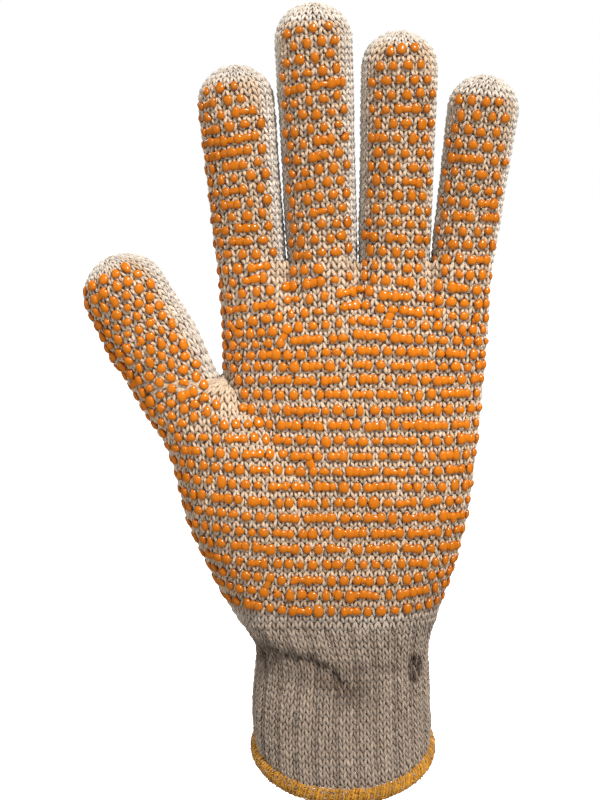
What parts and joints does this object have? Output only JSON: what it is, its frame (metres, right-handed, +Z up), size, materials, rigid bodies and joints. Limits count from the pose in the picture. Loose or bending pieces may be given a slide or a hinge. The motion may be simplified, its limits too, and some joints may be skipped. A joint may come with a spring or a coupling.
{
  "type": "cotton work glove",
  "caption": "Left-hand string-knit cotton work glove with orange PVC grip dots on the palm side, shown filled as worn.",
  "frame": {"origin": "middle of the wrist opening, level with the lowest point of the hem", "axes": "+Z up along the fingers, -Y out of the palm, -X towards the thumb"},
  "size_m": [0.1358, 0.0468, 0.2495],
  "materials": {
    "cotton_knit": "matte string knit, undyed",
    "cuff_knit": "matte string knit, undyed, greyer",
    "hem_thread": "fluffy overlock thread, mustard",
    "pvc_dots": "glossy printed PVC, orange"
  },
  "bodies": {
    "root": {"palm": "cotton_knit", "index_finger": "cotton_knit", "middle_finger": "cotton_knit", "ring_finger": "cotton_knit", "little_finger": "cotton_knit", "thumb": "cotton_knit", "cuff": "cuff_knit", "hem": "hem_thread"}
  },
  "joints": []
}
